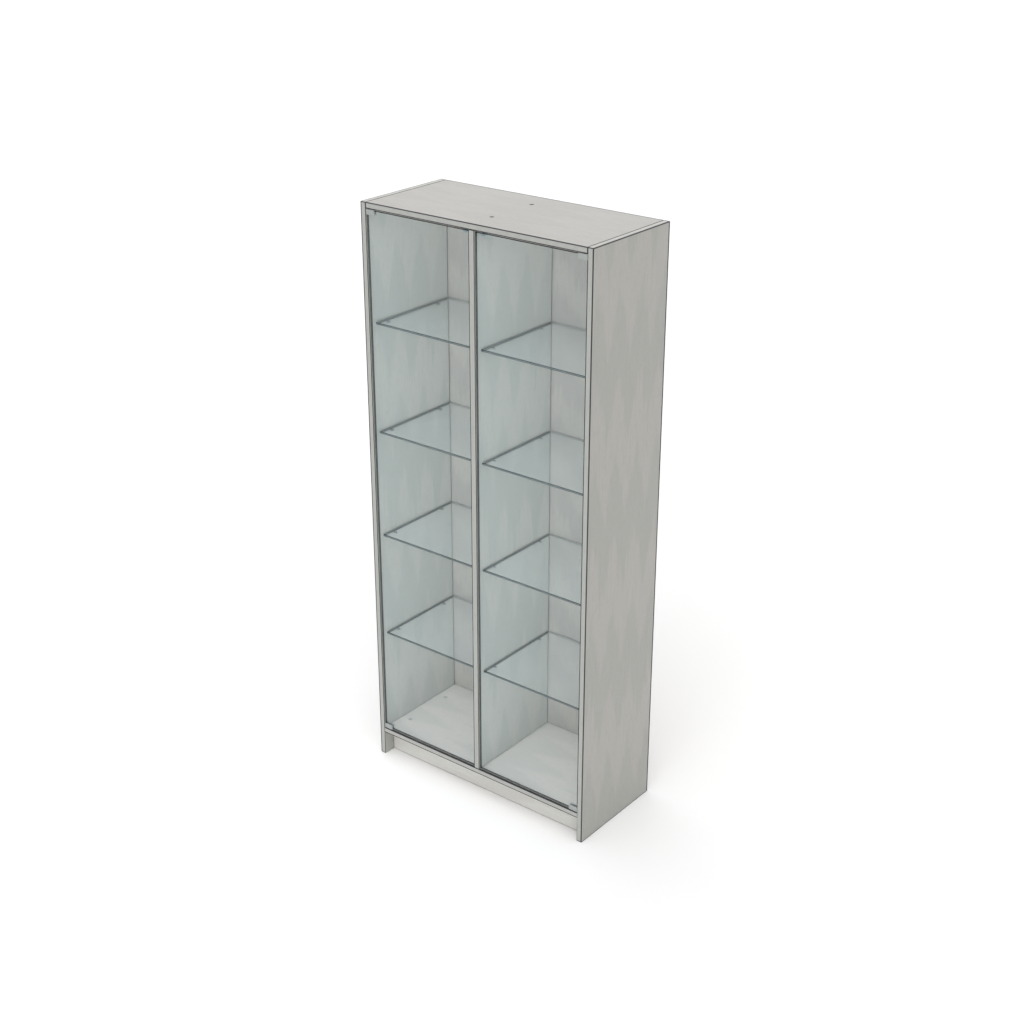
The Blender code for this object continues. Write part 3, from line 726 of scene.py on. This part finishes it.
def add_back_nails():
    """Nail heads round the back panel and down the divider."""
    low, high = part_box("back_panel")
    side_x = high.x - NAIL_INSET
    bottom = low.z + NAIL_INSET
    top = high.z - NAIL_INSET
    row = [NAIL_ROW_STEP * i for i in range(-NAIL_ROW_REACH, NAIL_ROW_REACH + 1)]
    places = [(x, z) for z in (bottom, top) for x in row]
    steps = int((top - bottom) / NAIL_STEP)
    for i in range(1, steps):
        z = bottom + (top - bottom) * i / steps
        places += [(x, z) for x in (-side_x, 0.0, side_x)]
    shape = bmesh.new()
    for x, z in places:
        add_rings(shape, NAIL_RINGS, (x, high.y, z), REARWARD, NAIL_STEPS)
    add_piece("back_nails", shape, ZINC, "cabinet")


def add_fittings():
    for side in SIDES:
        for row in ("front", "rear"):
            add_floor_fittings(side, row)
        for end in ("top", "bottom"):
            add_clamp_screws(side, end)
        add_latch_screws(side)
    add_top_screw("front", -TOP_SCREW_Y)
    add_top_screw("rear", TOP_SCREW_Y)
    add_back_nails()


def make_camera():
    data = bpy.data.cameras.new("camera")
    data.lens = CAMERA_LENS_MM
    data.sensor_width = CAMERA_SENSOR_MM
    camera = bpy.data.objects.new("camera", data)
    camera.location = CAMERA_PLACE
    camera.rotation_euler = Euler((QUARTER_TURN - CAMERA_ELEVATION, 0.0, CAMERA_AZIMUTH))
    bpy.context.scene.collection.objects.link(camera)
    bpy.context.scene.camera = camera


def make_sun(name, share, azimuth, elevation):
    """A soft, even lamp. Azimuth 0 stands in front of the cabinet, and 90 degrees on its right."""
    data = bpy.data.lights.new(name, "SUN")
    data.energy = share * math.pi
    data.angle = SOFT_ANGLE
    lamp = bpy.data.objects.new(name, data)
    lamp.rotation_euler = Euler((QUARTER_TURN - elevation, 0.0, azimuth))
    bpy.context.scene.collection.objects.link(lamp)


def make_bay_light(name, centre, width, height, turn, share):
    """A fill lamp inside a bay, which the camera and the glass don't see. It faces down before its turn."""
    data = bpy.data.lights.new(name, "AREA")
    data.shape = "RECTANGLE"
    data.size = width
    data.size_y = height
    data.energy = share * math.pi * width * height
    lamp = bpy.data.objects.new(name, data)
    lamp.location = centre
    lamp.rotation_euler = Euler(turn)
    lamp.visible_camera = False
    lamp.visible_glossy = False
    bpy.context.scene.collection.objects.link(lamp)


def light_bay(side):
    """Lights a bay evenly: from behind its door, before its back and beside both walls, and from above."""
    door_low, door_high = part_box(f"glass_door_{side}")
    shelf_low, shelf_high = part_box(f"glass_shelf_{side}_1")
    width, _, height = door_high - door_low
    depth = shelf_high.y - shelf_low.y
    x, _, z = (door_low + door_high) / 2
    y = (shelf_low.y + shelf_high.y) / 2
    front_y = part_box(f"hinge_clamp_{side}_top")[1].y
    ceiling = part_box("top_panel")[0].z - LAMP_GAP
    to_rear = (QUARTER_TURN, 0.0, 0.0)
    to_front = (-QUARTER_TURN, 0.0, 0.0)
    to_right = (QUARTER_TURN, 0.0, -QUARTER_TURN)
    to_left = (QUARTER_TURN, 0.0, QUARTER_TURN)
    down = (0.0, 0.0, 0.0)
    make_bay_light(f"bay_front_{side}", (x, front_y, z), width, height, to_rear, BAY_FRONT_LIGHT)
    make_bay_light(f"bay_rear_{side}", (x, shelf_high.y, z), width, height, to_front, BAY_REAR_LIGHT)
    make_bay_light(f"bay_wall_left_{side}", (door_low.x, y, z), depth, height, to_right, BAY_WALL_LIGHT)
    make_bay_light(f"bay_wall_right_{side}", (door_high.x, y, z), depth, height, to_left, BAY_WALL_LIGHT)
    make_bay_light(f"bay_low_{side}", (x, y, shelf_low.z), width, depth, down, BAY_LOW_LIGHT)
    make_bay_light(f"bay_high_{side}", (x, y, ceiling), width, depth, down, BAY_HIGH_LIGHT)


def make_sky():
    """Even light from all round, seen as plain white by the camera, metal and glass."""
    world = bpy.data.worlds.new("studio")
    world.use_nodes = True
    tree = world.node_tree
    background = tree.nodes["Background"]
    path = tree.nodes.new("ShaderNodeLightPath")
    seen = path.outputs["Is Camera Ray"]
    for name in ("Is Glossy Ray", "Is Transmission Ray"):
        either = tree.nodes.new("ShaderNodeMath")
        either.operation = "MAXIMUM"
        tree.links.new(seen, either.inputs[0])
        tree.links.new(path.outputs[name], either.inputs[1])
        seen = either.outputs[0]
    level = tree.nodes.new("ShaderNodeMapRange")
    tree.links.new(seen, level.inputs["Value"])
    level.inputs["To Min"].default_value = SKY_LIGHT
    level.inputs["To Max"].default_value = SKY_SEEN
    tree.links.new(level.outputs["Result"], background.inputs["Strength"])
    background.inputs["Color"].default_value = (1.0, 1.0, 1.0, 1.0)
    bpy.context.scene.world = world


def make_floor():
    """A pale floor under the cabinet, clear when seen from below."""
    mesh = bpy.data.meshes.new("studio_floor")
    shape = bmesh.new()
    bmesh.ops.create_grid(shape, x_segments=1, y_segments=1, size=FLOOR_SIZE / 2)
    shape.to_mesh(mesh)
    shape.free()
    floor = bpy.data.objects.new("studio_floor", mesh)
    floor.location.z = cad_box[0].z
    g = Graph("studio_floor")
    above = g.principled(base_color=linear(FLOOR_COLOUR), roughness=FLOOR_ROUGHNESS)
    below = g.add("BsdfTransparent").outputs[0]
    underside = g.add("NewGeometry").outputs["Backfacing"]
    mesh.materials.append(g.finish(g.mix_shaders(underside, above, below)))
    bpy.context.scene.collection.objects.link(floor)


make_camera()
dress_boards()
dress_glass_and_fittings()
add_fittings()
make_sky()
make_sun("top_light", TOP_LIGHT, TOP_AZIMUTH, TOP_ELEVATION)
make_sun("front_light", FRONT_LIGHT, FRONT_AZIMUTH, FRONT_ELEVATION)
make_sun("rear_light", REAR_LIGHT, REAR_AZIMUTH, REAR_ELEVATION)
for bay in SIDES:
    light_bay(bay)
make_floor()

bpy.context.scene.view_settings.view_transform = "Standard"
bpy.context.scene.cycles.transparent_max_bounces = MOST_FACES_SEEN_THROUGH
